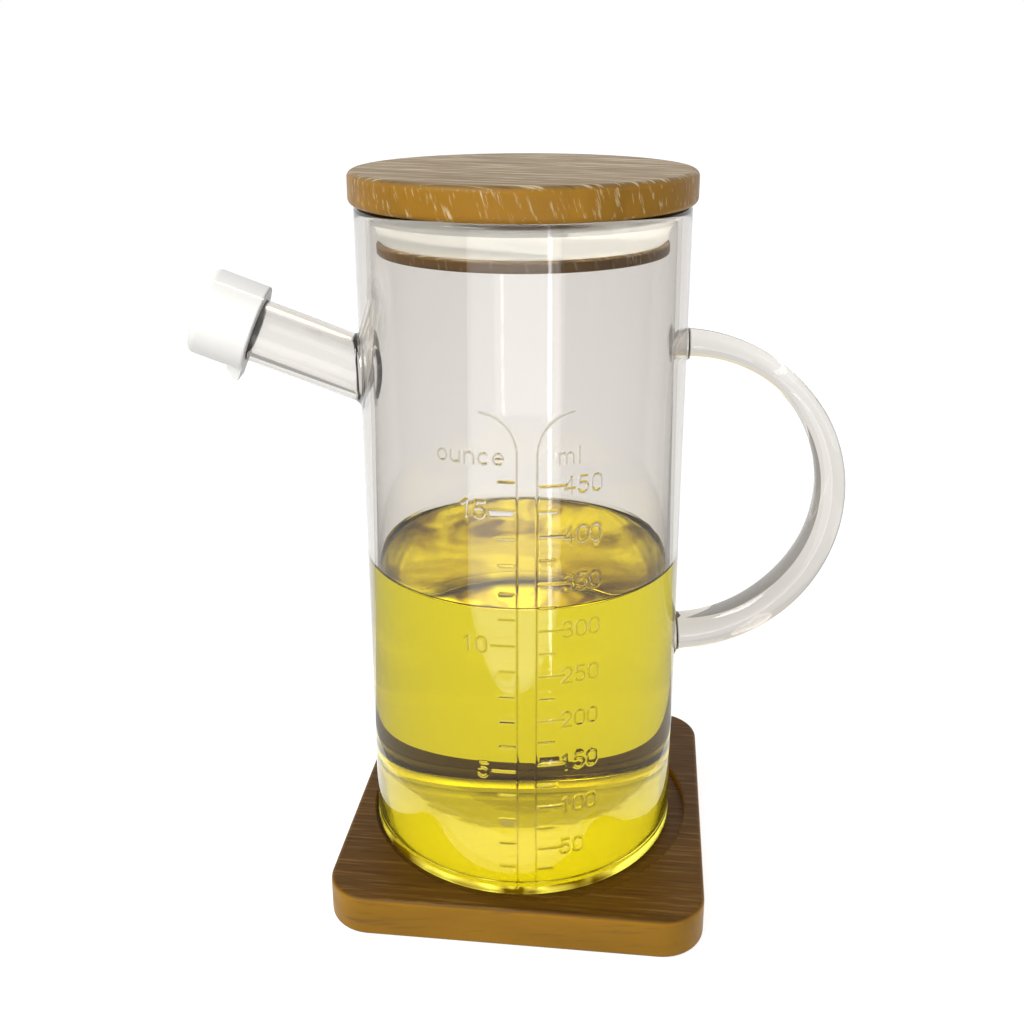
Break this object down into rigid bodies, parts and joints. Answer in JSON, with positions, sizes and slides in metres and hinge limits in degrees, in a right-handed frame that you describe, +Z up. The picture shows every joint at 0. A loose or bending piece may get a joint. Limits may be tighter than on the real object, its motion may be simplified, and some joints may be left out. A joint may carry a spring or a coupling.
{
  "type": "oil jug with spout, lid and coaster",
  "caption": "Clear measuring jug of cooking oil with a capped side spout, bowed handle, plug lid of wood with a soft seal, standing in a square wooden coaster.",
  "frame": {"origin": "on the jug's axis, at the underside of the coaster", "axes": "+Z up along the jug's axis, +X towards the handle, -X towards the spout, -Y the side with the scale"},
  "size_m": [0.1641, 0.1018, 0.1819],
  "materials": {
    "coaster_wood": "satin",
    "clear_glass": "gloss",
    "oil": "gloss",
    "lid_wood": "satin",
    "white_silicone": "satin"
  },
  "bodies": {
    "root": {"coaster": "coaster_wood", "glass_jug": "clear_glass", "oil": "oil", "lid": "lid_wood", "lid_seal": "white_silicone", "spout_cap": "white_silicone"}
  },
  "joints": []
}
